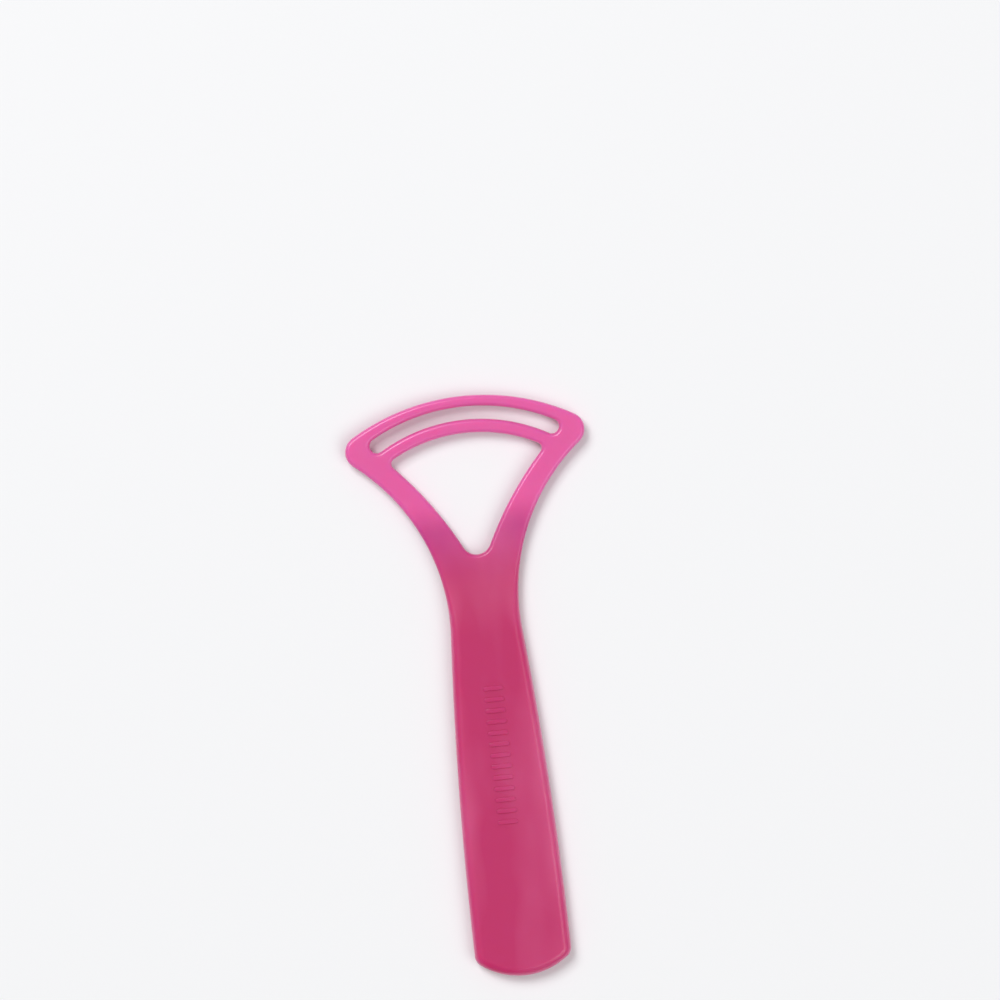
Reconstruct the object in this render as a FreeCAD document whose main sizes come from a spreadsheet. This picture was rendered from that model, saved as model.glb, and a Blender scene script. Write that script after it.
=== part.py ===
import FreeCAD, Part
import math
import os
import Sketcher
from FreeCAD import Vector

# Tongue scraper, a flat moulding that lies on its underside: a paddle handle along Y, a waist, and a forked
# head with two arched blades. Stations are measured along Y from the butt end of the handle, in millimetres.
SIZES = {
    # Handle: a paddle with an arched butt end, bowed sides and soft edges.
    "handle_length": 71.0,
    "handle_width": 19.9,
    "handle_thickness": 4.0,
    "butt_radius": 15.0,
    "butt_corner_radius": 2.5,
    "grip_edge_radius": 1.7,
    # Plain raised bars along the middle of the handle, in a row that ends short of the neck.
    "bar_length": 4.2,
    "bar_width": 0.9,
    "bar_height": 0.25,
    "bar_pitch": 2.3,
    "bar_count": 13,
    "bar_setback": 11.5,
    # Neck: holds the waist, and thins from the handle to the head.
    "neck_length": 13.0,
    "waist_width": 14.5,
    "waist_offset": 3.5,
    # Head: a thinner plate with two rounded tips and an arched crown.
    "head_length": 36.0,
    "head_width": 49.6,
    "head_thickness": 2.4,
    "head_edge_radius": 0.8,
    "tip_radius": 3.5,
    "crown_radius": 46.1,
    # Window between the arms, from the notch of the fork up to the inner blade.
    "notch_wall": 3.2,
    "notch_radius": 3.1,
    "shoulder_width": 9.2,
    "window_corner_radius": 1.2,
    "arm_inner_radius": 75.0,
    "arm_root_offset": 5.8,
    # Blades and the slot between them, at the middle of the arches. A swell is how much smaller an edge's
    # radius is than that of an even arch, which widens the arch towards its ends.
    "outer_blade_width": 2.15,
    "outer_blade_swell": 4.15,
    "slot_width": 2.75,
    "slot_swell": 2.25,
    "slot_end_wall": 6.65,
    "inner_blade_width": 2.7,
    # Scraping lips under the blades, on the side towards the handle.
    "lip_height": 0.8,
    "lip_width": 0.9,
    "lip_setback": 0.3,
    "lip_end_setback": 1.2,
    # How far a cutter runs past what it cuts.
    "overrun": 10.0,
}

# Share of a wall that an edge rounding may take from one side.
ROUNDING_SHARE = 0.46
# Places of the neck's sections between its two ends, as shares of its length.
NECK_SHARES = (0.0, 0.25, 0.5, 0.75, 1.0)
# How far a level edge may leave its plane, as a share of the plate's thickness.
LEVEL_SHARE = 0.001

# Stations along the part.
OVERALL_LENGTH = "(Sizes.handle_length + Sizes.neck_length + Sizes.head_length)"
NECK_START = "Sizes.handle_length"
NECK_END = "(Sizes.handle_length + Sizes.neck_length)"
WAIST = "(Sizes.handle_length + Sizes.waist_offset)"
NOTCH = f"({NECK_END} + Sizes.notch_wall)"
ARM_ROOT = f"({NOTCH} + Sizes.arm_root_offset)"
# Radii of the arches, from the crown inwards, and the stations of their centres.
SLOT_OUTER_RADIUS = "(Sizes.crown_radius - Sizes.outer_blade_width - Sizes.outer_blade_swell)"
INNER_BLADE_RADIUS = f"({SLOT_OUTER_RADIUS} - Sizes.slot_width - Sizes.slot_swell)"
WINDOW_RADIUS = f"({INNER_BLADE_RADIUS} - Sizes.inner_blade_width)"
CROWN_CENTRE = f"({OVERALL_LENGTH} - Sizes.crown_radius)"
SLOT_OUTER_CENTRE = f"({OVERALL_LENGTH} - Sizes.outer_blade_width - {SLOT_OUTER_RADIUS})"
INNER_BLADE_CENTRE = f"({OVERALL_LENGTH} - Sizes.outer_blade_width - Sizes.slot_width - {INNER_BLADE_RADIUS})"
# Centre of the right tip, and the flare that touches the waist and that tip.
TIP_X = "(Sizes.head_width / 2 - Sizes.tip_radius)"
TIP_Y = f"({CROWN_CENTRE} + sqrt((Sizes.crown_radius - Sizes.tip_radius)^2 - {TIP_X}^2))"
TIP_BEYOND_WAIST = f"({TIP_X} - Sizes.waist_width / 2)"
FLARE_RADIUS = (
    f"(({TIP_BEYOND_WAIST}^2 + ({TIP_Y} - {WAIST})^2 - Sizes.tip_radius^2)"
    f" / (2 * (Sizes.tip_radius + {TIP_BEYOND_WAIST})))"
)
FLARE_X = f"(Sizes.waist_width / 2 + {FLARE_RADIUS})"
# Distances from the axis to the centres of the butt corners, the window corners and the slot's ends.
BUTT_CORNER_X = "(Sizes.handle_width / 2 - Sizes.butt_corner_radius)"
WINDOW_CORNER_X = "(Sizes.head_width / 2 - Sizes.shoulder_width - Sizes.window_corner_radius)"
SLOT_END_X = "(Sizes.head_width / 2 - Sizes.slot_end_wall)"
# Where each blade leaves its arm, short of the round end of the slot and of the window's corner.
OUTER_SEAM_X = f"({SLOT_END_X} - Sizes.slot_width / 2)"
INNER_SEAM_X = f"({WINDOW_CORNER_X} - Sizes.window_corner_radius)"
# Heights, and the roundings of the edges, each limited by the wall that carries it.
HEAD_TOP = "(Sizes.lip_height + Sizes.head_thickness)"
GRIP_EDGE = f"min(Sizes.grip_edge_radius; {ROUNDING_SHARE} * Sizes.handle_thickness)"
HEAD_EDGE = (
    f"min(Sizes.head_edge_radius; {ROUNDING_SHARE} * Sizes.head_thickness;"
    f" {ROUNDING_SHARE} * Sizes.outer_blade_width; {ROUNDING_SHARE} * Sizes.inner_blade_width)"
)

doc = FreeCAD.newDocument("tongue_scraper")
sheet = doc.addObject("Spreadsheet::Sheet", "Sizes")
for row, (alias, number) in enumerate(SIZES.items(), start=1):
    sheet.set(f"A{row}", alias)
    sheet.set(f"B{row}", str(number))
    sheet.setAlias(f"B{row}", alias)
doc.recompute()


def size(expression):
    """The present value of an expression on the sheet."""
    return float(sheet.evalExpression(expression))


def point(x, y):
    """A point of a sketch, from two expressions."""
    return Vector(size(x), size(y), 0)


def mirrored(place):
    """The point's image on the other side of the Y axis."""
    return Vector(-place.x, place.y, 0)


def towards(start, goal, distance):
    """The point at a distance from the start on the way to the goal."""
    return start + (goal - start).normalize() * distance


def arc_middle(centre, start, end):
    """The middle of the shorter arc between two points about a centre."""
    return towards(centre, (start + end) / 2, start.distanceToPoint(centre))


def make_body(name):
    """A body whose own frame starts at the butt end, so that stations are its Y values."""
    body = doc.addObject("PartDesign::Body", name)
    body.Label = name
    body.setExpression("Placement.Base.y", f"-{OVERALL_LENGTH} / 2")
    return body


def make_sketch(body, name, role, lift="0"):
    """A sketch on one of the body's own origin planes, lifted off it along its normal."""
    sketch = body.newObject("Sketcher::SketchObject", name)
    plane = next(feature for feature in body.Origin.OriginFeatures if feature.Role == role)
    sketch.AttachmentSupport = [(plane, "")]
    sketch.MapMode = "FlatFace"
    sketch.setExpression("AttachmentOffset.Base.z", lift)
    return sketch


def relate(sketch, kind, *places):
    """A geometric constraint of the sketch."""
    return sketch.addConstraint(Sketcher.Constraint(kind, *places))


def drive(sketch, expression, kind, *places):
    """A dimension of the sketch, tied to the sheet."""
    number = relate(sketch, kind, *places, size(expression))
    sketch.setExpression(f"Constraints[{number}]", expression)


def place_x(sketch, expression, element, end, side=1):
    """How far a point lies from the Y axis, to the right of it or to the left."""
    ends = (-1, 1, element, end) if side > 0 else (element, end, -1, 1)
    drive(sketch, expression, "DistanceX", *ends)


def place_y(sketch, expression, element, end):
    """How far a point lies beyond the X axis."""
    drive(sketch, expression, "DistanceY", -1, 1, element, end)


def centre_on_axis(sketch, element, station, radius):
    """Gives an arc its radius and a centre on the Y axis."""
    relate(sketch, "PointOnObject", element, 3, -2)
    place_y(sketch, station, element, 3)
    drive(sketch, radius, "Radius", element)


def draw_loop(sketch, corners, middles, smooth):
    """A closed outline through the corners, counter-clockwise.

    A stretch with a middle point is an arc and one without is a line. The stretches meet smoothly at the
    corners whose numbers smooth holds. Returns the stretches' elements.
    """
    stretches = []
    for start, middle, end in zip(corners, middles, corners[1:] + corners[:1]):
        if middle is None:
            stretches.append((sketch.addGeometry(Part.LineSegment(start, end)), 1, 2))
            continue
        element = sketch.addGeometry(Part.Arc(start, middle, end))
        turns_left = (middle - start).cross(end - middle).z > 0
        stretches.append((element, 1, 2) if turns_left else (element, 2, 1))
    for number, (element, first, _) in enumerate(stretches):
        before, _, last = stretches[number - 1]
        relate(sketch, "Tangent" if number in smooth else "Coincident", before, last, element, first)
    return [element for element, _, _ in stretches]


def pad(body, sketch, name, length):
    """A pad of the sketch, upwards."""
    feature = body.newObject("PartDesign::Pad", name)
    feature.Profile = sketch
    feature.setExpression("Length", length)
    return feature


def pocket_through(body, sketch, name):
    """A pocket of the sketch through the plate above it."""
    feature = body.newObject("PartDesign::Pocket", name)
    feature.Profile = sketch
    feature.Type = "ThroughAll"
    feature.Reversed = True
    return feature


def round_rims(body, base, name, radius):
    """Rounds the level edges of a plate, apart from the straight seams across it."""
    doc.recompute()
    flat = LEVEL_SHARE * base.Shape.BoundBox.ZLength
    rims = []
    for number, edge in enumerate(base.Shape.Edges, start=1):
        if edge.BoundBox.ZLength < flat < edge.BoundBox.YLength:
            rims.append(f"Edge{number}")
    feature = body.newObject("PartDesign::Fillet", name)
    feature.Base = (base, rims)
    feature.setExpression("Radius", radius)


def flare_half_width(station):
    """Half the width between the flares at a station, as an expression."""
    return f"({FLARE_X} - sqrt({FLARE_RADIUS}^2 - ({station} - {WAIST})^2))"


def draw_handle(body):
    """The paddle's outline: an arched butt end, two corners and two bowed sides that run into the waist."""
    sketch = make_sketch(body, "handle_outline", "XY_Plane")
    butt_radius = size("Sizes.butt_radius")
    corner_radius = size("Sizes.butt_corner_radius")
    seam_half = flare_half_width(NECK_START)
    seam = point(seam_half, NECK_START)
    flare_centre = point(FLARE_X, WAIST)
    butt_centre = point("0", "Sizes.butt_radius")
    corner_x = size(BUTT_CORNER_X)
    corner_drop = math.sqrt((butt_radius - corner_radius) ** 2 - corner_x**2)
    corner_centre = butt_centre + Vector(corner_x, -corner_drop, 0)
    # The bow's centre is in line with the seam's end and the flare's centre, and the bow touches the corner.
    spoke_way = (flare_centre - seam).normalize()
    reach = seam - corner_centre
    bow_radius = (reach.Length**2 - corner_radius**2) / (2 * (reach.dot(spoke_way) - corner_radius))
    bow_centre = seam - spoke_way * bow_radius
    low = towards(butt_centre, corner_centre, butt_radius)
    wide = towards(bow_centre, corner_centre, bow_radius)
    corner = arc_middle(corner_centre, low, wide)
    bow = arc_middle(bow_centre, wide, seam)
    corners = [mirrored(low), low, wide, seam, mirrored(seam), mirrored(wide)]
    middles = [Vector(0, 0, 0), corner, bow, None, mirrored(bow), mirrored(corner)]
    loop = draw_loop(sketch, corners, middles, (0, 1, 2, 5))
    butt, right_corner, right_bow, across, left_bow, left_corner = loop
    centre_on_axis(sketch, butt, "Sizes.butt_radius", "Sizes.butt_radius")
    for side, corner_arc, bow_arc, end in ((1, right_corner, right_bow, 1), (-1, left_corner, left_bow, 2)):
        drive(sketch, "Sizes.butt_corner_radius", "Radius", corner_arc)
        place_x(sketch, BUTT_CORNER_X, corner_arc, 3, side)
        place_x(sketch, seam_half, across, end, side)
        place_y(sketch, NECK_START, across, end)
        ends = (seam, flare_centre) if side > 0 else (mirrored(seam), mirrored(flare_centre))
        spoke = sketch.addGeometry(Part.LineSegment(*ends), True)
        relate(sketch, "Coincident", across, end, spoke, 1)
        place_x(sketch, FLARE_X, spoke, 2, side)
        place_y(sketch, WAIST, spoke, 2)
        relate(sketch, "PointOnObject", bow_arc, 3, spoke)
    return sketch


def add_bars(body):
    """A row of low round-ended bars along the middle of the handle's upper face."""
    sketch = make_sketch(body, "bar_outline", "XY_Plane", "Sizes.handle_thickness")
    station = f"({NECK_START} - Sizes.bar_setback)"
    half_straight = "(Sizes.bar_length - Sizes.bar_width) / 2"
    low = point(half_straight, f"{station} - Sizes.bar_width / 2")
    high = point(half_straight, f"{station} + Sizes.bar_width / 2")
    tip = point("Sizes.bar_length / 2", station)
    corners = [mirrored(low), low, high, mirrored(high)]
    middles = [None, tip, None, mirrored(tip)]
    lower, right_end, upper, left_end = draw_loop(sketch, corners, middles, range(len(corners)))
    relate(sketch, "Horizontal", lower)
    relate(sketch, "Horizontal", upper)
    drive(sketch, "Sizes.bar_width / 2", "Radius", right_end)
    place_y(sketch, station, right_end, 3)
    place_x(sketch, half_straight, right_end, 3)
    place_x(sketch, half_straight, left_end, 3, -1)
    bar = pad(body, sketch, "bar", "Sizes.bar_height")
    bars = body.newObject("PartDesign::LinearPattern", "bars")
    bars.Originals = [bar]
    bars.Direction = (sketch, ["V_Axis"])
    bars.Reversed = True
    bars.setExpression("Length", "Sizes.bar_pitch * (Sizes.bar_count - 1)")
    bars.setExpression("Occurrences", "Sizes.bar_count")
    body.Tip = bars


def make_handle():
    """The paddle, with soft edges and a row of raised bars."""
    body = make_body("handle")
    plate = pad(body, draw_handle(body), "handle_plate", "Sizes.handle_thickness")
    round_rims(body, plate, "handle_edges", GRIP_EDGE)
    add_bars(body)
    return body


def draw_neck_section(body, share):
    """A rounded rectangle across the neck, between the handle's section and the head's."""
    station = f"({NECK_START} + {share} * Sizes.neck_length)"
    eased_share = share * share * (3 - 2 * share)
    bottom = f"{eased_share} * Sizes.lip_height"
    top = f"Sizes.handle_thickness + {eased_share} * ({HEAD_TOP} - Sizes.handle_thickness)"
    rounding = f"{1 - eased_share} * {GRIP_EDGE} + {eased_share} * {HEAD_EDGE}"
    half_width = flare_half_width(station)
    sketch = make_sketch(body, "neck_section", "XZ_Plane", f"-{station}")
    right_low = point(f"{half_width} - ({rounding})", f"{bottom} + {rounding}")
    right_high = point(f"{half_width} - ({rounding})", f"{top} - ({rounding})")
    radius = size(rounding)
    corners, middles = [], []
    for number, centre in enumerate((right_low, right_high, mirrored(right_high), mirrored(right_low))):
        turns = [math.radians(90 * number + turn) for turn in (-90, -45, 0)]
        start, middle, end = (centre + Vector(math.cos(turn), math.sin(turn), 0) * radius for turn in turns)
        corners += [start, end]
        middles += [middle, None]
    loop = draw_loop(sketch, corners, middles, range(len(corners)))
    right, over, left, under = loop[1::2]
    for kind, elements in (("Horizontal", (over, under)), ("Vertical", (right, left))):
        for element in elements:
            relate(sketch, kind, element)
    for rounded_corner in loop[::2]:
        drive(sketch, rounding, "Radius", rounded_corner)
    place_x(sketch, half_width, right, 1)
    place_x(sketch, half_width, left, 1, -1)
    place_y(sketch, top, over, 1)
    place_y(sketch, f"{bottom} + {rounding}", loop[0], 3)
    return sketch


def make_neck():
    """The neck: a loft along the flares, from the handle's section to the head's."""
    body = make_body("neck")
    sections = [draw_neck_section(body, share) for share in NECK_SHARES]
    loft = body.newObject("PartDesign::AdditiveLoft", "neck_loft")
    loft.Profile = sections[0]
    loft.Sections = sections[1:]
    return body


def draw_head(body):
    """The head's outline: two flares from the neck, two round tips and the crown."""
    sketch = make_sketch(body, "head_outline", "XY_Plane", "Sizes.lip_height")
    tip_radius = size("Sizes.tip_radius")
    seam = point(flare_half_width(NECK_END), NECK_END)
    tip_centre = point(TIP_X, TIP_Y)
    flare_centre = point(FLARE_X, WAIST)
    crown_centre = point("0", CROWN_CENTRE)
    below = towards(tip_centre, flare_centre, tip_radius)
    above = towards(tip_centre, crown_centre, -tip_radius)
    flare = arc_middle(flare_centre, seam, below)
    tip = arc_middle(tip_centre, below, above)
    corners = [mirrored(seam), seam, below, above, mirrored(above), mirrored(below)]
    middles = [None, flare, tip, point("0", OVERALL_LENGTH), mirrored(tip), mirrored(flare)]
    loop = draw_loop(sketch, corners, middles, (2, 3, 4, 5))
    across, right_flare, right_tip, crown, left_tip, left_flare = loop
    centre_on_axis(sketch, crown, CROWN_CENTRE, "Sizes.crown_radius")
    for side, flare_arc, tip_arc, end in ((1, right_flare, right_tip, 2), (-1, left_flare, left_tip, 1)):
        drive(sketch, "Sizes.tip_radius", "Radius", tip_arc)
        place_x(sketch, TIP_X, tip_arc, 3, side)
        place_y(sketch, NECK_END, across, end)
        # The flare's circle passes the waist level with its centre.
        waist_place = point("Sizes.waist_width / 2", WAIST)
        waist = sketch.addGeometry(Part.Point(waist_place if side > 0 else mirrored(waist_place)), True)
        place_x(sketch, "Sizes.waist_width / 2", waist, 1, side)
        place_y(sketch, WAIST, waist, 1)
        place_y(sketch, WAIST, flare_arc, 3)
        relate(sketch, "PointOnObject", waist, 1, flare_arc)
    return sketch


def draw_window(body):
    """The window's outline: a round notch, two sides that flare outwards, two corners and an arched top."""
    sketch = make_sketch(body, "window_outline", "XY_Plane", "Sizes.lip_height")
    notch_radius = size("Sizes.notch_radius")
    side_radius = size("Sizes.arm_inner_radius")
    corner_radius = size("Sizes.window_corner_radius")
    top_radius = size(WINDOW_RADIUS)
    notch_centre = point("0", f"{NOTCH} + Sizes.notch_radius")
    top_centre = point("0", INNER_BLADE_CENTRE)
    corner_x = size(WINDOW_CORNER_X)
    corner_rise = math.sqrt((top_radius - corner_radius) ** 2 - corner_x**2)
    corner_centre = top_centre + Vector(corner_x, corner_rise, 0)
    # The side's circle touches the notch and the corner from the arm's side.
    way = corner_centre - notch_centre
    notch_reach, corner_reach = notch_radius + side_radius, corner_radius + side_radius
    along = (notch_reach**2 - corner_reach**2 + way.Length**2) / (2 * way.Length)
    aside = math.sqrt(notch_reach**2 - along**2)
    across = Vector(way.y, -way.x, 0)
    side_centre = towards(notch_centre, corner_centre, along) + across.normalize() * aside
    notch_end = towards(notch_centre, side_centre, notch_radius)
    below = towards(corner_centre, side_centre, corner_radius)
    above = towards(top_centre, corner_centre, top_radius)
    side_middle = arc_middle(side_centre, notch_end, below)
    corner = arc_middle(corner_centre, below, above)
    corners = [mirrored(notch_end), notch_end, below, above, mirrored(above), mirrored(below)]
    middles = [point("0", NOTCH), side_middle, corner, top_centre + Vector(0, top_radius, 0)]
    middles += [mirrored(corner), mirrored(side_middle)]
    loop = draw_loop(sketch, corners, middles, range(len(corners)))
    notch, right_side, right_corner, top, left_corner, left_side = loop
    centre_on_axis(sketch, notch, f"{NOTCH} + Sizes.notch_radius", "Sizes.notch_radius")
    centre_on_axis(sketch, top, INNER_BLADE_CENTRE, WINDOW_RADIUS)
    for side, side_arc, corner_arc in ((1, right_side, right_corner), (-1, left_side, left_corner)):
        drive(sketch, "Sizes.arm_inner_radius", "Radius", side_arc)
        drive(sketch, "Sizes.window_corner_radius", "Radius", corner_arc)
        place_x(sketch, WINDOW_CORNER_X, corner_arc, 3, side)
    return sketch


def draw_slot(body):
    """The outline of the slot between the blades: two arches joined by round ends."""
    sketch = make_sketch(body, "slot_outline", "XY_Plane", "Sizes.lip_height")
    inner_radius = size(INNER_BLADE_RADIUS)
    outer_radius = size(SLOT_OUTER_RADIUS)
    end_x = size(SLOT_END_X)
    inner_centre = point("0", INNER_BLADE_CENTRE)
    outer_centre = point("0", SLOT_OUTER_CENTRE)
    # A circle that touches both arches has its centre on an ellipse about the two arches' centres.
    long_half = (inner_radius + outer_radius) / 2
    short_half_squared = long_half**2 - (inner_centre - outer_centre).Length ** 2 / 4
    end_rise = long_half * math.sqrt(1 - end_x**2 / short_half_squared)
    end_centre = (inner_centre + outer_centre) / 2 + Vector(end_x, end_rise, 0)
    end_radius = outer_radius - end_centre.distanceToPoint(outer_centre)
    below = towards(inner_centre, end_centre, inner_radius)
    above = towards(outer_centre, end_centre, outer_radius)
    tip = end_centre + Vector(end_radius, 0, 0)
    corners = [mirrored(below), below, above, mirrored(above)]
    middles = [inner_centre + Vector(0, inner_radius, 0), tip, outer_centre + Vector(0, outer_radius, 0)]
    middles += [mirrored(tip)]
    lower, right_end, upper, left_end = draw_loop(sketch, corners, middles, range(len(corners)))
    centre_on_axis(sketch, lower, INNER_BLADE_CENTRE, INNER_BLADE_RADIUS)
    centre_on_axis(sketch, upper, SLOT_OUTER_CENTRE, SLOT_OUTER_RADIUS)
    place_x(sketch, SLOT_END_X, right_end, 3)
    place_x(sketch, SLOT_END_X, left_end, 3, -1)
    return sketch


def make_head():
    """The whole head as one plate with soft edges, from which its nodes are cut."""
    body = make_body("head_plate")
    pad(body, draw_head(body), "head_pad", "Sizes.head_thickness")
    pocket_through(body, draw_window(body), "window")
    slot = pocket_through(body, draw_slot(body), "slot")
    round_rims(body, slot, "head_edges", HEAD_EDGE)
    return body


def make_arch(body, sketch, centre, radius, end_x):
    """Turns a section on the YZ plane about the upright axis at a station, as far to either side as end_x."""
    axis = sketch.addGeometry(Part.LineSegment(point(centre, "0"), point(centre, "Sizes.overrun")), True)
    relate(sketch, "PointOnObject", axis, 1, -1)
    relate(sketch, "Vertical", axis)
    place_x(sketch, centre, axis, 1)
    place_y(sketch, "Sizes.overrun", axis, 2)
    arch = body.newObject("PartDesign::Revolution", "arch")
    arch.Profile = sketch
    arch.ReferenceAxis = (sketch, ["Axis0"])
    arch.Midplane = True
    arch.setExpression("Angle", f"2 * asin({end_x} / {radius})")


def make_blade_region(name, centre, radius, near, far, end_x):
    """The part of a ring that holds one blade, from near to far from the arch's centre."""
    body = make_body(name)
    sketch = make_sketch(body, f"{name}_section", "YZ_Plane")
    height = f"{HEAD_TOP} + Sizes.overrun"
    start, end = f"{centre} + {near}", f"{centre} + {far}"
    corners = [point(start, "0"), point(end, "0"), point(end, height), point(start, height)]
    under, back, over, front = draw_loop(sketch, corners, [None] * len(corners), ())
    for kind, elements in (("Horizontal", (under, over)), ("Vertical", (back, front))):
        for element in elements:
            relate(sketch, kind, element)
    relate(sketch, "PointOnObject", under, 1, -1)
    place_x(sketch, start, under, 1)
    place_x(sketch, end, under, 2)
    place_y(sketch, height, over, 1)
    make_arch(body, sketch, centre, radius, end_x)
    return body


def make_lip(name, centre, radius, end_x, head):
    """A round-nosed lip under a blade, set back from its edge, whose root follows the blade's rounding."""
    body = make_body(f"{name}_blank")
    sketch = make_sketch(body, f"{name}_section", "YZ_Plane")
    near = f"{centre} + {radius} + Sizes.lip_setback"
    far = f"{near} + Sizes.lip_width"
    root = f"Sizes.lip_height + {HEAD_EDGE}"
    nose_height = "Sizes.lip_width / 2"
    corners = [point(near, nose_height), point(far, nose_height), point(far, root), point(near, root)]
    middles = [point(f"{near} + Sizes.lip_width / 2", "0"), None, None, None]
    nose, back, over, front = draw_loop(sketch, corners, middles, (0, 1))
    relate(sketch, "Horizontal", over)
    relate(sketch, "Vertical", back)
    relate(sketch, "Vertical", front)
    place_x(sketch, far, over, 1)
    place_x(sketch, near, over, 2)
    place_y(sketch, root, over, 1)
    place_y(sketch, nose_height, nose, 3)
    make_arch(body, sketch, centre, radius, f"({end_x} - Sizes.lip_end_setback)")
    return combine("Part::Cut", name, body, head)


def make_box(name, left, right, near, far):
    """A cutting box between two stations, through the full height of the head."""
    box = doc.addObject("Part::Box", name)
    box.setExpression("Length", f"{right} - {left}")
    box.setExpression("Width", f"{far} - {near}")
    box.setExpression("Height", f"{HEAD_TOP} + Sizes.overrun")
    box.setExpression("Placement.Base.x", left)
    box.setExpression("Placement.Base.y", f"{near} - {OVERALL_LENGTH} / 2")
    return box


def combine(kind, name, base, tool):
    """A boolean of two objects, which takes its name as its label."""
    result = doc.addObject(kind, name)
    result.Base = base
    result.Tool = tool
    return result


def split_head(head):
    """The head's nodes: the fork, the two arms and the two blades."""
    half_slot = "Sizes.slot_width / 2"
    outer_region = make_blade_region(
        "outer_region",
        SLOT_OUTER_CENTRE,
        SLOT_OUTER_RADIUS,
        f"{SLOT_OUTER_RADIUS} - {half_slot}",
        "Sizes.crown_radius + Sizes.overrun",
        OUTER_SEAM_X,
    )
    inner_region = make_blade_region(
        "inner_region",
        INNER_BLADE_CENTRE,
        WINDOW_RADIUS,
        f"{WINDOW_RADIUS} - {half_slot}",
        f"{INNER_BLADE_RADIUS} + {half_slot}",
        INNER_SEAM_X,
    )
    outer_blade = combine("Part::Common", "outer_blade", head, outer_region)
    inner_blade = combine("Part::Common", "inner_blade", head, inner_region)
    head_without_crown = combine("Part::Cut", "head_without_crown", head, outer_region)
    frame = combine("Part::Cut", "head_frame", head_without_crown, inner_region)
    reach = "(Sizes.head_width / 2 + Sizes.overrun)"
    fork_box = make_box("fork_box", f"-{reach}", reach, f"({NECK_END} - Sizes.overrun)", ARM_ROOT)
    arm_box = make_box("arm_box", "0", reach, ARM_ROOT, f"({OVERALL_LENGTH} + Sizes.overrun)")
    fork = combine("Part::Common", "fork", frame, fork_box)
    right_arm = combine("Part::Common", "right_arm", frame, arm_box)
    left_arm = doc.addObject("Part::Mirroring", "left_arm")
    left_arm.Source = right_arm
    left_arm.Normal = Vector(1, 0, 0)
    return [fork, left_arm, right_arm, outer_blade, inner_blade]


def check_document(nodes):
    """Stops on a failed object, a loose sketch or a sub-part that isn't one valid solid."""
    for item in doc.Objects:
        if "Invalid" in item.State or "Error" in item.State:
            raise RuntimeError(f"{item.Name} failed: {item.getStatusString()}")
        if item.TypeId == "Sketcher::SketchObject" and not item.FullyConstrained:
            raise RuntimeError(f"{item.Name} isn't fully constrained")
    for node in nodes:
        if node.Shape.isNull() or not node.Shape.isValid() or len(node.Shape.Solids) != 1:
            raise RuntimeError(f"{node.Label} isn't one valid solid")


def main():
    """Builds the document and writes each sub-part."""
    head = make_head()
    nodes = [make_handle(), make_neck(), *split_head(head)]
    nodes.append(make_lip("outer_scraping_lip", SLOT_OUTER_CENTRE, SLOT_OUTER_RADIUS, OUTER_SEAM_X, head))
    nodes.append(make_lip("inner_scraping_lip", INNER_BLADE_CENTRE, WINDOW_RADIUS, INNER_SEAM_X, head))
    doc.recompute()
    check_document(nodes)
    os.makedirs("parts", exist_ok=True)
    for node in nodes:
        node.Shape.exportStep(f"parts/{node.Label}.step")
        print(f"{node.Label}: {node.Shape.Volume:.2f} mm3, {len(node.Shape.Faces)} faces")


main()
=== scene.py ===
import math

import bmesh
import bpy
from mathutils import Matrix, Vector


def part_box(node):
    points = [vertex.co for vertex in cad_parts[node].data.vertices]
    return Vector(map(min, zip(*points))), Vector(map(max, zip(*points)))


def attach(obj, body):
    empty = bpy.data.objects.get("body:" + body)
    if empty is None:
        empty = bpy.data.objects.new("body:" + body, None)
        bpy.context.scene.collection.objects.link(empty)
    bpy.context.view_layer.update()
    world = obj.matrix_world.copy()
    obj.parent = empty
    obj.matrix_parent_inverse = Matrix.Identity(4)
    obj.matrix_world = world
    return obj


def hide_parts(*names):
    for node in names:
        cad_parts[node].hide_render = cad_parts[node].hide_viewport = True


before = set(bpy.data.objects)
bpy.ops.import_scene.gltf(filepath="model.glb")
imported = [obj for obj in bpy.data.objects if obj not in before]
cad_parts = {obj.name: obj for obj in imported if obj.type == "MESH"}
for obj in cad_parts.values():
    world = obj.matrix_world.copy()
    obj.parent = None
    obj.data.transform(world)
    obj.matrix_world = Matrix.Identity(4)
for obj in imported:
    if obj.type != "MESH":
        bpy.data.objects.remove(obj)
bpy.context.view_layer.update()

# A flat plastic tongue scraper, made as one moulding: a paddle handle along Y, a waist, and a forked head
# whose arms hold two arched blades. Lengths are in metres.

# The CAD box, and places of the moulding that its nodes give.
HANDLE_LOW, HANDLE_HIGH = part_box("handle")
RIGHT_ARM_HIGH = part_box("right_arm")[1]
BUTT_Y = HANDLE_LOW.y
NECK_START_Y = HANDLE_HIGH.y
NECK_END_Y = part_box("neck")[1].y
CROWN_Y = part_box("outer_blade")[1].y
HANDLE_HALF_WIDTH = HANDLE_HIGH.x
HEAD_HALF_WIDTH = RIGHT_ARM_HIGH.x
HEAD_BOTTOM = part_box("fork")[0].z
BAR_TOP = HANDLE_HIGH.z

# Handle and neck.
HANDLE_THICKNESS = 0.004
BUTT_RADIUS = 0.015
BUTT_CORNER_RADIUS = 0.0025
GRIP_EDGE_RADIUS = 0.0017
WAIST_WIDTH = 0.0145
WAIST_OFFSET = 0.0035
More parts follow.
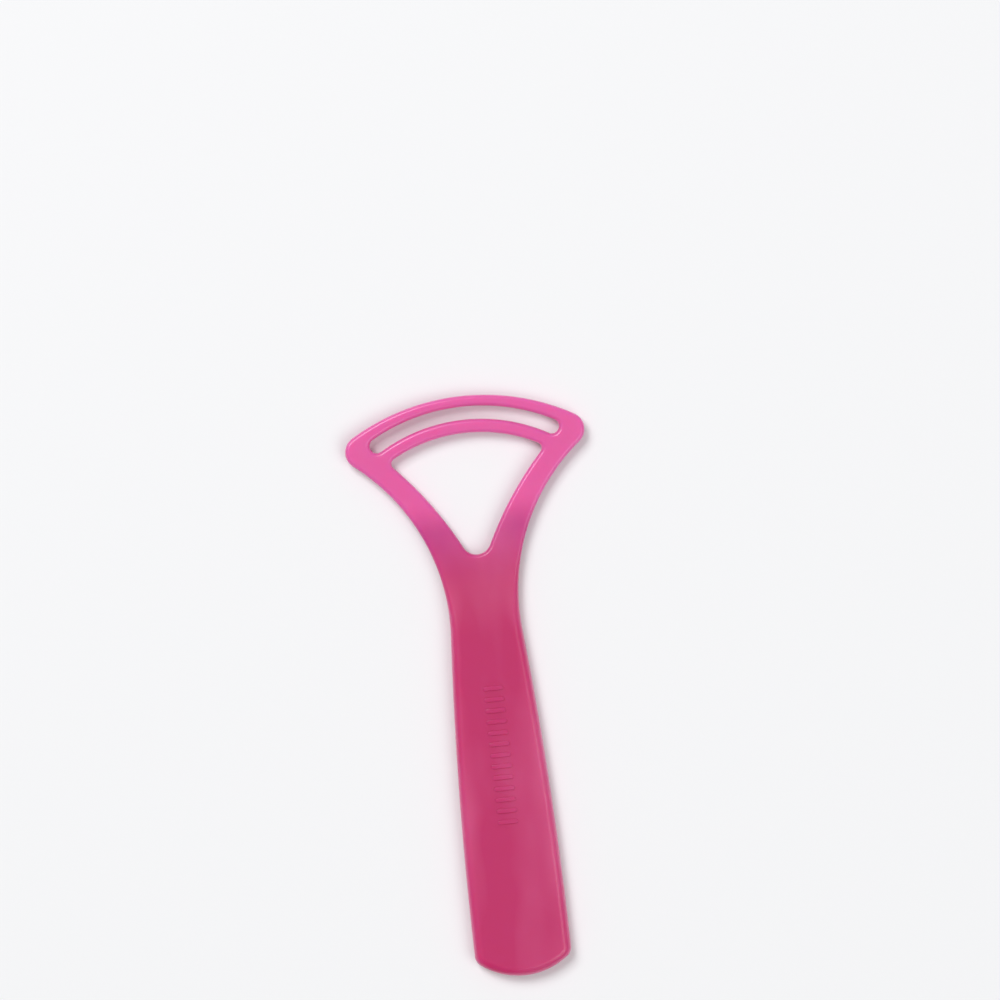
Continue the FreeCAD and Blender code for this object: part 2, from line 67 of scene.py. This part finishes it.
# Head, its window and its blades. A swell widens an arch towards its ends.
HEAD_EDGE_RADIUS = 0.0008
TIP_RADIUS = 0.0035
CROWN_RADIUS = 0.0461
NOTCH_WALL = 0.0032
NOTCH_RADIUS = 0.0031
SHOULDER_WIDTH = 0.0092
WINDOW_CORNER_RADIUS = 0.0012
ARM_INNER_RADIUS = 0.075
OUTER_BLADE_WIDTH = 0.00215
OUTER_BLADE_SWELL = 0.00415
SLOT_WIDTH = 0.00275
SLOT_SWELL = 0.00225
SLOT_END_WALL = 0.00665
INNER_BLADE_WIDTH = 0.0027
# Scraping lips under the blades.
LIP_WIDTH = 0.0009
LIP_SETBACK = 0.0003
LIP_END_SETBACK = 0.0027
LIP_RUNOUT = 0.0015
# Raised bars along the handle.
BAR_LENGTH = 0.0042
BAR_WIDTH = 0.0009
BAR_PITCH = 0.0023
BAR_COUNT = 13
BAR_SETBACK = 0.0115
BAR_EDGE_RADIUS = 0.00012
BAR_ROOT = 0.0003
BAR_SIDES = 32
# Traces of the mould: the parting ridge and the marks of its pins.
RIDGE_HEIGHT = 0.00004
RIDGE_HALF_WIDTH = 0.00012
PIN_RADIUS = 0.0012
PIN_DEPTH = 0.00006
PIN_SIDES = 48
# How finely the outline and its roundings are divided, and which edges are rims or stay sharp.
OUTLINE_STEP = 0.0007
OUTLINE_TURN = math.radians(7)
EDGE_SEGMENTS = 6
NOSE_SEGMENTS = 5
NECK_ROWS = 16
RIM_ANGLE = math.radians(60)
SMOOTH_ANGLE = math.radians(35)
# Points nearer than this count as touching, and points nearer than the weld are merged.
TOUCH = 1e-5
WELD = 1e-6

# Colours, as linear light.
HANDLE_PINK = (0.66, 0.022, 0.178, 1)
FORK_PINK = (0.67, 0.055, 0.31, 1)
HEAD_PINK = (0.96, 0.14, 0.46, 1)
# The lighter pink used for the painted glow of the walls, the painted sheen on the handle's sides and the
# flow's mottle.
GLOW_SHEEN_AND_FLOW_PINK = (0.95, 0.24, 0.50, 1)
FLOOR_PALE = (0.885, 0.888, 0.9, 1)
WHITE = (1, 1, 1, 1)
# Where the handle's deep pink turns cooler at the fork, and then gives way to the head's bright pink.
COOL_START_Y = 0.02
COOL_END_Y = 0.034
FADE_START_Y = 0.0315
FADE_END_Y = 0.0395
# How far the pink lightens: a painted glow in the middle of the walls, a painted sheen along the handle's
# sides, and the plastic's flow.
# The painted glow's limits are shares of the way from a face to the middle plane, and the painted sheen's of
# the half width.
# The flow lightens where it is above its level, and the head's calm is how much less it shows there.
PAINTED_RIM_GLOW = 0.45
RIM_GLOW_START = 0.02
RIM_GLOW_END = 0.8
PAINTED_SIDE_SHEEN = 0.16
SIDE_SHEEN_START = 0.55
SIDE_SHEEN_END = 1.0
FLOW_LIGHT = 0.8
FLOW_LEVEL = 0.46
HEAD_CALM = 0.7
# The flow's streaks run along the handle. Spots are counted in a metre.
FLOW_SPOTS = 90
FLOW_STRETCH = (1, 0.35, 1)
FLOW_DETAIL = 2
# Gloss: a little smoother on the head, uneven with the flow, with a fine grain.
HANDLE_ROUGHNESS = 0.37
HEAD_POLISH = 0.05
FLOW_ROUGHNESS = 0.06
FLOW_MIDDLE = 0.5
GRAIN_SPOTS = 2600
GRAIN_DETAIL = 1
GRAIN_STRENGTH = 0.04
GRAIN_DEPTH = 0.0001
FLOOR_ROUGHNESS = 0.9

# The floor, and the camera above it: how wide a strip of the floor it takes in, and where it aims.
FLOOR_SIZE = 4.0
FLOOR_GAP = 0.0001
CAMERA_HEIGHT = 1.5
CAMERA_ROLL = math.radians(6.5)
FRAME_WIDTH = 0.206
AIM_RIGHT = 0.0015
AIM_UP = 0.0382
# Light: an even surround, a key lamp beyond the head on the left, and a weaker one on the other side.
SURROUND_STRENGTH = 0.33
KEY_PLACE = (-0.8, 1.2, 2.0)
KEY_SIZE = 1.2
KEY_POWER = 37
FILL_PLACE = (1.0, -0.8, 1.8)
FILL_SIZE = 1.6
FILL_POWER = 17

# Which way an arc of the outline turns.
LEFT, RIGHT = 1, -1
UP = Vector((0, 0, 1))


def at(x, y):
    """A point of the outline's plane."""
    return Vector((x, y, 0))


def towards(start, goal, distance):
    """The point at a distance from the start on the way to the goal."""
    return start + (goal - start).normalized() * distance


# Stations, radii and centres of the outline's arcs.
MIDDLE_Z = HANDLE_THICKNESS / 2
WAIST_Y = NECK_START_Y + WAIST_OFFSET
NOTCH_Y = NECK_END_Y + NOTCH_WALL
NECK_LENGTH = NECK_END_Y - NECK_START_Y
NECK_STATIONS = [NECK_START_Y + NECK_LENGTH * row / NECK_ROWS for row in range(NECK_ROWS + 1)]
SLOT_OUTER_RADIUS = CROWN_RADIUS - OUTER_BLADE_WIDTH - OUTER_BLADE_SWELL
INNER_BLADE_RADIUS = SLOT_OUTER_RADIUS - SLOT_WIDTH - SLOT_SWELL
WINDOW_RADIUS = INNER_BLADE_RADIUS - INNER_BLADE_WIDTH
CROWN_CENTRE = at(0, CROWN_Y - CROWN_RADIUS)
SLOT_OUTER_CENTRE = at(0, CROWN_Y - OUTER_BLADE_WIDTH - SLOT_OUTER_RADIUS)
INNER_BLADE_CENTRE = at(0, CROWN_Y - OUTER_BLADE_WIDTH - SLOT_WIDTH - INNER_BLADE_RADIUS)


def on_arch(centre, radius, x):
    """The upper point of a circle at a distance from the axis."""
    return centre + at(x, math.sqrt(radius**2 - x**2))


def neck_share(y):
    """How far the neck has thinned at a station, from 0 at the handle to 1 at the head."""
    share = min(max((y - NECK_START_Y) / NECK_LENGTH, 0), 1)
    return share * share * (3 - 2 * share)


def pick(piece, kind, test):
    """In edit mode, selects only the vertices, edges or faces of the piece that pass a test."""
    bpy.ops.mesh.select_mode(type=kind)
    bpy.ops.mesh.select_all(action="DESELECT")
    mesh = bmesh.from_edit_mesh(piece.data)
    for element in {"VERT": mesh.verts, "EDGE": mesh.edges, "FACE": mesh.faces}[kind]:
        if test(element):
            element.select_set(True)
    bmesh.update_edit_mesh(piece.data)


def finish_modifier(piece, kind, **settings):
    """Gives the piece a modifier with its settings and applies it, in object mode."""
    modifier = piece.modifiers.new(kind.lower(), kind)
    for name, setting in settings.items():
        setattr(modifier, name, setting)
    bpy.context.view_layer.objects.active = piece
    bpy.ops.object.modifier_apply(modifier=modifier.name)


def start_piece(name, add, **settings):
    """Adds a primitive by itself and opens it in edit mode, with all of it selected."""
    bpy.ops.object.select_all(action="DESELECT")
    add(**settings)
    piece = bpy.context.object
    piece.name = name
    bpy.ops.object.transform_apply(location=True, rotation=True, scale=True)
    bpy.ops.object.mode_set(mode="EDIT")
    bpy.ops.mesh.select_all(action="SELECT")
    return piece


def sweep(place, centre, goal, turn):
    """Spins the selected vertex round a centre until it points at the goal. Returns where it then is."""
    start_way, goal_way = place - centre, goal - centre
    angle = (math.atan2(goal_way.y, goal_way.x) - math.atan2(start_way.y, start_way.x)) * turn % math.tau
    steps = math.ceil(max(start_way.length * angle / OUTLINE_STEP, angle / OUTLINE_TURN))
    bpy.ops.mesh.spin(steps=steps, angle=-angle * turn, center=centre, axis=UP)
    return towards(centre, goal, start_way.length)


def step_to(place, goal):
    """Draws a straight stretch from the selected vertex. Returns where it ends."""
    bpy.ops.mesh.extrude_vertices_move(TRANSFORM_OT_translate={"value": goal - place})
    return goal


def mirror_half(piece):
    """Opens the right half of a piece on the axis, leaves edit mode and adds the left half."""
    pick(piece, "FACE", lambda face: all(abs(vertex.co.x) < TOUCH for vertex in face.verts))
    bpy.ops.mesh.delete(type="FACE")
    bpy.ops.object.mode_set(mode="OBJECT")
    finish_modifier(piece, "MIRROR", use_axis=(True, False, False), merge_threshold=TOUCH)


def merge_into(plate, tool, operation):
    """Adds another solid to the plate or cuts it out, and removes it."""
    finish_modifier(plate, "BOOLEAN", operation=operation, object=tool, solver="EXACT")
    bpy.data.objects.remove(tool)


def draw_outside(place):
    """The outside of the right half, from the butt end by the paddle, the flare and the tip to the crown."""
    tip_x = HEAD_HALF_WIDTH - TIP_RADIUS
    tip = on_arch(CROWN_CENTRE, CROWN_RADIUS - TIP_RADIUS, tip_x)
    beyond_waist = at(tip_x - WAIST_WIDTH / 2, tip.y - WAIST_Y)
    flare_radius = (beyond_waist.length_squared - TIP_RADIUS**2) / (2 * (TIP_RADIUS + beyond_waist.x))
    flare = at(WAIST_WIDTH / 2 + flare_radius, WAIST_Y)
    seam = flare - at(math.sqrt(flare_radius**2 - WAIST_OFFSET**2), WAIST_OFFSET)
    butt = at(0, BUTT_Y + BUTT_RADIUS)
    corner_x = HANDLE_HALF_WIDTH - BUTT_CORNER_RADIUS
    corner = butt + at(corner_x, -math.sqrt((BUTT_RADIUS - BUTT_CORNER_RADIUS) ** 2 - corner_x**2))
    spoke = (flare - seam).normalized()
    reach = seam - corner
    beyond_corner = reach.dot(spoke) - BUTT_CORNER_RADIUS
    bow_radius = (reach.length_squared - BUTT_CORNER_RADIUS**2) / (2 * beyond_corner)
    bow = seam - spoke * bow_radius
    place = sweep(place, butt, corner, LEFT)
    place = sweep(place, corner, towards(corner, bow, -BUTT_CORNER_RADIUS), LEFT)
    place = sweep(place, bow, seam, LEFT)
    place = sweep(place, flare, tip, RIGHT)
    place = sweep(place, tip, towards(tip, CROWN_CENTRE, -TIP_RADIUS), LEFT)
    return sweep(place, CROWN_CENTRE, at(0, CROWN_Y), LEFT)


def draw_slot(place):
    """The right half of the slot, from the outer blade round the slot's end to the inner blade."""
    long_half = (INNER_BLADE_RADIUS + SLOT_OUTER_RADIUS) / 2
    apart = (INNER_BLADE_CENTRE - SLOT_OUTER_CENTRE).length
    end_x = HEAD_HALF_WIDTH - SLOT_END_WALL
    end_rise = long_half * math.sqrt(1 - end_x**2 / (long_half**2 - apart**2 / 4))
    end = (INNER_BLADE_CENTRE + SLOT_OUTER_CENTRE) / 2 + at(end_x, end_rise)
    place = sweep(place, SLOT_OUTER_CENTRE, end, RIGHT)
    place = sweep(place, end, INNER_BLADE_CENTRE, RIGHT)
    return sweep(place, INNER_BLADE_CENTRE, at(0, CROWN_Y), LEFT)


def draw_window(place):
    """The right half of the window, from the inner blade round its corner and down the arm to the notch."""
    corner_x = HEAD_HALF_WIDTH - SHOULDER_WIDTH - WINDOW_CORNER_RADIUS
    corner = on_arch(INNER_BLADE_CENTRE, WINDOW_RADIUS - WINDOW_CORNER_RADIUS, corner_x)
    notch = at(0, NOTCH_Y + NOTCH_RADIUS)
    way = corner - notch
    notch_reach = NOTCH_RADIUS + ARM_INNER_RADIUS
    corner_reach = WINDOW_CORNER_RADIUS + ARM_INNER_RADIUS
    along = (notch_reach**2 - corner_reach**2 + way.length_squared) / (2 * way.length)
    aside = math.sqrt(notch_reach**2 - along**2)
    side = towards(notch, corner, along) + at(way.y, -way.x).normalized() * aside
    place = sweep(place, INNER_BLADE_CENTRE, corner, RIGHT)
    place = sweep(place, corner, side, RIGHT)
    place = sweep(place, side, notch, LEFT)
    return sweep(place, notch, at(0, NOTCH_Y), RIGHT)


def make_plate():
    """The moulding as a square-edged plate: half an outline, filled, raised and mirrored."""
    plate = start_piece("moulding", bpy.ops.mesh.primitive_plane_add, size=BUTT_RADIUS)
    bpy.ops.mesh.merge(type="CENTER")
    place = at(0, BUTT_Y)
    bpy.ops.transform.translate(value=place)
    place = draw_outside(place)
    place = step_to(place, at(0, CROWN_Y - OUTER_BLADE_WIDTH))
    place = draw_slot(place)
    place = step_to(place, INNER_BLADE_CENTRE + at(0, WINDOW_RADIUS))
    draw_window(place)
    pick(plate, "VERT", lambda vertex: abs(vertex.co.x) < TOUCH)
    bpy.ops.transform.resize(value=(0, 1, 1), center_override=(0, 0, 0))
    bpy.ops.mesh.select_all(action="SELECT")
    bpy.ops.mesh.edge_face_add()
    bpy.ops.mesh.extrude_region_move(TRANSFORM_OT_translate={"value": UP * HANDLE_THICKNESS})
    bpy.ops.mesh.select_all(action="SELECT")
    bpy.ops.mesh.normals_make_consistent(inside=False)
    mirror_half(plate)
    return plate


def is_between_rows(edge):
    """Whether an edge stands upright in a wall of the neck, between the rows that are cut across it."""
    low, high = edge.verts
    upright = abs(low.co.z - high.co.z) > MIDDLE_Z
    return upright and NECK_START_Y < low.co.y < NECK_END_Y and len(low.link_edges) == 3


def thin_head(plate):
    """Cuts rows across the neck and brings both faces of the head in by an equal step."""
    bpy.ops.object.mode_set(mode="EDIT")
    for y in NECK_STATIONS:
        bpy.ops.mesh.select_all(action="SELECT")
        bpy.ops.mesh.bisect(plane_co=at(0, y), plane_no=(0, 1, 0))
    pick(plate, "EDGE", is_between_rows)
    bpy.ops.mesh.dissolve_edges(use_verts=True)
    # Each level of the neck moves by itself, and all of the head moves with the last.
    levels = sorted({round(vertex.co.y, 7) for vertex in bmesh.from_edit_mesh(plate.data).verts})
    levels = [y for y in levels if NECK_START_Y < y < NECK_END_Y - TOUCH] + [NECK_END_Y]
    midways = [(near + far) / 2 for near, far in zip(levels, levels[1:])]
    for y, near, far in zip(levels, [NECK_START_Y, *midways], [*midways, CROWN_Y + TOUCH]):
        lift = UP * HEAD_BOTTOM * neck_share(y)
        for face_z, way in ((0, 1), (HANDLE_THICKNESS, -1)):
            pick(
                plate,
                "VERT",
                lambda vertex: near < vertex.co.y < far and abs(vertex.co.z - face_z) < MIDDLE_Z / 2,
            )
            bpy.ops.transform.translate(value=lift * way)
    bpy.ops.object.mode_set(mode="OBJECT")


def is_rim(edge, near, far):
    """Whether an edge between a face and a wall has its middle between two stations."""
    middle_y = (edge.verts[0].co.y + edge.verts[1].co.y) / 2
    return near < middle_y < far and edge.calc_face_angle(0) > RIM_ANGLE


def round_edges(plate):
    """Rounds the rims, fully on the handle and less towards the head."""
    bpy.ops.object.mode_set(mode="EDIT")
    head_weight = HEAD_EDGE_RADIUS / GRIP_EDGE_RADIUS
    bounds = [BUTT_Y - OUTLINE_STEP, *NECK_STATIONS, CROWN_Y + OUTLINE_STEP]
    for near, far in zip(bounds, bounds[1:]):
        weight = 1 + (head_weight - 1) * neck_share((near + far) / 2)
        pick(plate, "EDGE", lambda edge: is_rim(edge, near, far))
        bpy.ops.transform.edge_bevelweight(value=weight)
    bpy.ops.object.mode_set(mode="OBJECT")
    finish_modifier(
        plate,
        "BEVEL",
        limit_method="WEIGHT",
        width=GRIP_EDGE_RADIUS,
        segments=EDGE_SEGMENTS,
        use_clamp_overlap=False,
    )


def raise_parting_ridge(plate):
    """The fine ridge round the walls where the two halves of the mould meet, kept inside the CAD box."""
    bpy.ops.object.mode_set(mode="EDIT")
    for z in (MIDDLE_Z - RIDGE_HALF_WIDTH, MIDDLE_Z, MIDDLE_Z + RIDGE_HALF_WIDTH):
        bpy.ops.mesh.select_all(action="SELECT")
        bpy.ops.mesh.bisect(plane_co=UP * z, plane_no=UP)
    pick(plate, "VERT", lambda vertex: abs(vertex.co.z - MIDDLE_Z) < TOUCH)
    bpy.ops.transform.shrink_fatten(value=RIDGE_HEIGHT)
    bpy.ops.mesh.select_all(action="SELECT")
    room = 1 - 2 * RIDGE_HEIGHT / HEAD_HALF_WIDTH, 1 - 2 * RIDGE_HEIGHT / CROWN_Y
    bpy.ops.transform.resize(value=(*room, 1), center_override=(0, 0, 0))
    bpy.ops.object.mode_set(mode="OBJECT")


def make_lip(name, centre, radius, end_x):
    """A round-nosed lip: its section is spun along a blade to one side, run out into it and mirrored."""
    middle = centre + at(0, radius + LIP_SETBACK + LIP_WIDTH / 2)
    lip = start_piece(
        name,
        bpy.ops.mesh.primitive_plane_add,
        size=LIP_WIDTH,
        location=middle + UP * LIP_WIDTH / 2,
        rotation=(0, math.pi / 2, 0),
    )
    pick(lip, "VERT", lambda vertex: vertex.co.z > LIP_WIDTH / 2)
    bpy.ops.transform.translate(value=UP * (HEAD_BOTTOM + HEAD_EDGE_RADIUS - LIP_WIDTH))
    pick(lip, "VERT", lambda vertex: vertex.co.z < LIP_WIDTH / 2)
    bpy.ops.mesh.bevel(offset=LIP_WIDTH / 2 - TOUCH, segments=NOSE_SEGMENTS, affect="VERTICES")
    bpy.ops.mesh.select_mode(type="FACE")
    bpy.ops.mesh.select_all(action="SELECT")
    angle = math.asin((end_x - LIP_END_SETBACK) / radius)
    bpy.ops.mesh.spin(steps=math.ceil(radius * angle / OUTLINE_STEP), angle=angle, center=centre, axis=UP)
    runout = at(math.cos(angle), -math.sin(angle)) * LIP_RUNOUT + UP * HEAD_BOTTOM
    bpy.ops.mesh.extrude_region_move(TRANSFORM_OT_translate={"value": runout})
    bpy.ops.mesh.select_all(action="SELECT")
    bpy.ops.mesh.normals_make_consistent(inside=False)
    mirror_half(lip)
    return lip


def add_lips(plate):
    """One lip under each blade, on the side towards the handle."""
    slot_end_x = HEAD_HALF_WIDTH - SLOT_END_WALL - SLOT_WIDTH / 2
    window_corner_x = HEAD_HALF_WIDTH - SHOULDER_WIDTH - 2 * WINDOW_CORNER_RADIUS
    merge_into(plate, make_lip("outer_lip", SLOT_OUTER_CENTRE, SLOT_OUTER_RADIUS, slot_end_x), "UNION")
    merge_into(plate, make_lip("inner_lip", INNER_BLADE_CENTRE, WINDOW_RADIUS, window_corner_x), "UNION")


def make_bars():
    """A row of low bars with round ends and soft tops, down the middle of the handle."""
    bottom = HANDLE_THICKNESS - BAR_ROOT
    bars = start_piece(
        "bars",
        bpy.ops.mesh.primitive_cylinder_add,
        vertices=BAR_SIDES,
        radius=BAR_WIDTH / 2,
        depth=BAR_TOP - bottom,
        location=at(0, NECK_START_Y - BAR_SETBACK) + UP * (BAR_TOP + bottom) / 2,
    )
    for side in (1, -1):
        pick(bars, "VERT", lambda vertex: vertex.co.x * side > TOUCH)
        bpy.ops.transform.translate(value=at(side * (BAR_LENGTH - BAR_WIDTH) / 2, 0))
    pick(bars, "EDGE", lambda edge: all(vertex.co.z > BAR_TOP - TOUCH for vertex in edge.verts))
    bpy.ops.mesh.bevel(offset=BAR_EDGE_RADIUS, segments=NOSE_SEGMENTS)
    bpy.ops.object.mode_set(mode="OBJECT")
    finish_modifier(
        bars,
        "ARRAY",
        count=BAR_COUNT,
        use_relative_offset=False,
        use_constant_offset=True,
        constant_offset_displace=at(0, -BAR_PITCH),
    )
    return bars


def make_pin(place):
    """A cutter for the shallow round mark of a mould pin on the underside."""
    pin = start_piece(
        "pin",
        bpy.ops.mesh.primitive_cylinder_add,
        vertices=PIN_SIDES,
        radius=PIN_RADIUS,
        depth=2 * PIN_DEPTH,
        location=place,
    )
    bpy.ops.object.mode_set(mode="OBJECT")
    return pin


def cut_pin_marks(plate):
    """Two marks under the handle, and one under each tip of the head."""
    tip_x = HEAD_HALF_WIDTH - TIP_RADIUS
    tip_y = RIGHT_ARM_HIGH.y - 2 * TIP_RADIUS
    places = [at(0, BUTT_Y + BUTT_RADIUS), at(0, NECK_START_Y - BUTT_RADIUS)]
    places += [at(x, tip_y) + UP * HEAD_BOTTOM for x in (tip_x, -tip_x)]
    for place in places:
        merge_into(plate, make_pin(place), "DIFFERENCE")


def smooth_surface(plate):
    """Welds the points that the cuts left double, and shades the surface smooth between its sharp edges."""
    bpy.ops.object.mode_set(mode="EDIT")
    bpy.ops.mesh.select_all(action="SELECT")
    bpy.ops.mesh.remove_doubles(threshold=WELD)
    bpy.ops.object.mode_set(mode="OBJECT")
    bpy.ops.object.select_all(action="DESELECT")
    plate.select_set(True)
    bpy.ops.object.shade_smooth_by_angle(angle=SMOOTH_ANGLE)
    finish_modifier(plate, "WEIGHTED_NORMAL", keep_sharp=True)


def make_moulding():
    """The whole scraper as one moulding."""
    plate = make_plate()
    thin_head(plate)
    round_edges(plate)
    raise_parting_ridge(plate)
    add_lips(plate)
    merge_into(plate, make_bars(), "UNION")
    cut_pin_marks(plate)
    smooth_surface(plate)
    return plate


class Level:
    """A socket of a finish's nodes that takes part in sums as a number does."""

    def __init__(self, finish, socket):
        self.finish = finish
        self.socket = socket

    def reckon(self, operation, first, second):
        """The result of one Math node."""
        return self.finish.add("ShaderNodeMath", {"operation": operation}, {0: first, 1: second})

    def __add__(self, other):
        return self.reckon("ADD", self, other)

    def __sub__(self, other):
        return self.reckon("SUBTRACT", self, other)

    def __rsub__(self, other):
        return self.reckon("SUBTRACT", other, self)

    def __mul__(self, other):
        return self.reckon("MULTIPLY", self, other)

    def __truediv__(self, other):
        return self.reckon("DIVIDE", self, other)

    def __rtruediv__(self, other):
        return self.reckon("DIVIDE", other, self)

    def __abs__(self):
        return self.reckon("ABSOLUTE", self, 0)

    __radd__ = __add__
    __rmul__ = __mul__


class Finish:
    """A material, and the one way that its nodes are made."""

    def __init__(self, name):
        self.material = bpy.data.materials.new(name)
        self.material.use_nodes = True
        self.tree = self.material.node_tree
        self.tree.nodes.clear()

    def add(self, kind, settings, inputs, output=0):
        """Makes a node, sets it up, feeds its sockets and gives one of its outputs, if it has any."""
        node = self.tree.nodes.new(kind)
        for name, setting in settings.items():
            setattr(node, name, setting)
        for name, level in inputs.items():
            if isinstance(level, Level):
                self.tree.links.new(level.socket, node.inputs[name])
            else:
                node.inputs[name].default_value = level
        return Level(self, node.outputs[output]) if node.outputs else None

    def ramp(self, level, low, high):
        """A smooth rise from 0 to 1 as a level goes from low to high."""
        limits = {"Value": level, "From Min": low, "From Max": high}
        return self.add("ShaderNodeMapRange", {"interpolation_type": "SMOOTHSTEP"}, limits)

    def blend(self, share, first, second):
        """One colour that turns into another with a share. A Mix node's colours are its sockets 6 and 7."""
        inputs = {"Factor": share, 6: first, 7: second}
        return self.add("ShaderNodeMix", {"data_type": "RGBA"}, inputs, 2)

    def grain(self, place, spots, detail):
        """An uneven mottle, from 0 to 1, with a number of spots in a metre."""
        inputs = {"Vector": place, "Scale": spots, "Detail": detail}
        return self.add("ShaderNodeTexNoise", {}, inputs, "Fac")

    def surface(self, **inputs):
        """Ends the finish with its shader, whose sockets are named with underscores for spaces."""
        named = {name.replace("_", " "): level for name, level in inputs.items()}
        shader = self.add("ShaderNodeBsdfPrincipled", {}, named)
        self.add("ShaderNodeOutputMaterial", {}, {"Surface": shader})


def pink_plastic():
    """Translucent pink plastic, deep in the handle, cooler at the fork and bright in the head, with a
    painted glow in its walls and a painted sheen along the handle's sides.
    """
    finish = Finish("pink_plastic")
    place = finish.add("ShaderNodeTexCoord", {}, {}, "Object")
    x, y, z = (finish.add("ShaderNodeSeparateXYZ", {}, {0: place}, axis) for axis in "XYZ")
    neck = finish.ramp(y, NECK_START_Y, NECK_END_Y)
    fork = finish.ramp(y, COOL_START_Y, COOL_END_Y)
    head = finish.ramp(y, FADE_START_Y, FADE_END_Y)
    body = finish.blend(head, finish.blend(fork, HANDLE_PINK, FORK_PINK), HEAD_PINK)
    half_thickness = MIDDLE_Z - HEAD_BOTTOM * neck
    # Painted glow: the walls lighten towards their middle, standing in for the plastic's edges lighting up.
    rim_glow_mask = finish.ramp(1 - abs(z - MIDDLE_Z) / half_thickness, RIM_GLOW_START, RIM_GLOW_END)
    taper = (HANDLE_HALF_WIDTH - WAIST_WIDTH / 2) / (NECK_START_Y - BUTT_Y)
    half_width = WAIST_WIDTH / 2 + taper * (NECK_START_Y - y)
    # Painted sheen: a lighter band along both sides of the handle, fading out over the neck.
    side = finish.ramp(abs(x) / half_width, SIDE_SHEEN_START, SIDE_SHEEN_END) * (1 - neck)
    flow_place = finish.add("ShaderNodeMapping", {}, {"Vector": place, "Scale": FLOW_STRETCH})
    flow = finish.grain(flow_place, FLOW_SPOTS, FLOW_DETAIL)
    flow_light = FLOW_LIGHT * (flow - FLOW_LEVEL) * (1 - HEAD_CALM * head)
    # The painted glow, the painted sheen and the flow's mottle, added into one share of the lighter pink.
    glow_sheen_and_flow = PAINTED_RIM_GLOW * rim_glow_mask + PAINTED_SIDE_SHEEN * side + flow_light
    roughness = HANDLE_ROUGHNESS - HEAD_POLISH * head + FLOW_ROUGHNESS * (flow - FLOW_MIDDLE)
    fine = finish.grain(place, GRAIN_SPOTS, GRAIN_DETAIL)
    bump = {"Strength": GRAIN_STRENGTH, "Distance": GRAIN_DEPTH, "Height": fine}
    finish.surface(
        Base_Color=finish.blend(glow_sheen_and_flow, body, GLOW_SHEEN_AND_FLOW_PINK),
        Roughness=roughness,
        Normal=finish.add("ShaderNodeBump", {}, bump),
        IOR=1.49,
        Subsurface_Weight=0.8,
        Subsurface_Radius=(1.0, 0.35, 0.7),
        Subsurface_Scale=0.003,
        Transmission_Weight=0.2,
        Coat_Weight=0.25,
        Coat_Roughness=0.1,
    )
    return finish.material


def pale_floor():
    """A plain pale floor."""
    finish = Finish("pale_floor")
    finish.surface(Base_Color=FLOOR_PALE, Roughness=FLOOR_ROUGHNESS)
    return finish.material


def make_floor():
    """A wide floor just under the scraper."""
    bpy.ops.mesh.primitive_plane_add(size=FLOOR_SIZE, location=(0, 0, -FLOOR_GAP))
    floor = bpy.context.object
    floor.name = "floor"
    floor.data.materials.append(pale_floor())


def make_camera():
    """A camera straight above with a long lens, rolled so that the scraper leans to the left."""
    data = bpy.data.cameras.new("camera")
    data.lens = data.sensor_width * CAMERA_HEIGHT / FRAME_WIDTH
    camera = bpy.data.objects.new("camera", data)
    right = Vector((math.cos(CAMERA_ROLL), -math.sin(CAMERA_ROLL), 0))
    up = Vector((math.sin(CAMERA_ROLL), math.cos(CAMERA_ROLL), 0))
    camera.location = right * AIM_RIGHT + up * AIM_UP + UP * CAMERA_HEIGHT
    camera.rotation_euler = (0, 0, -CAMERA_ROLL)
    bpy.context.scene.collection.objects.link(camera)
    bpy.context.scene.camera = camera


def add_lamp(name, place, size, power):
    """A soft square lamp that points at the scraper."""
    data = bpy.data.lights.new(name, "AREA")
    data.energy = power
    data.size = size
    lamp = bpy.data.objects.new(name, data)
    lamp.location = place
    lamp.rotation_euler = (-Vector(place)).to_track_quat("-Z", "Y").to_euler()
    bpy.context.scene.collection.objects.link(lamp)


def light_room():
    """An even pale surround and two soft lamps."""
    world = bpy.data.worlds.new("surround")
    world.use_nodes = True
    background = world.node_tree.nodes["Background"]
    background.inputs["Color"].default_value = WHITE
    background.inputs["Strength"].default_value = SURROUND_STRENGTH
    bpy.context.scene.world = world
    add_lamp("key", KEY_PLACE, KEY_SIZE, KEY_POWER)
    add_lamp("fill", FILL_PLACE, FILL_SIZE, FILL_POWER)


moulding = make_moulding()
moulding.data.materials.append(pink_plastic())
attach(moulding, "root")
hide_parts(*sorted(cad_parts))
make_floor()
make_camera()
light_room()
bpy.context.scene.view_settings.view_transform = "Standard"
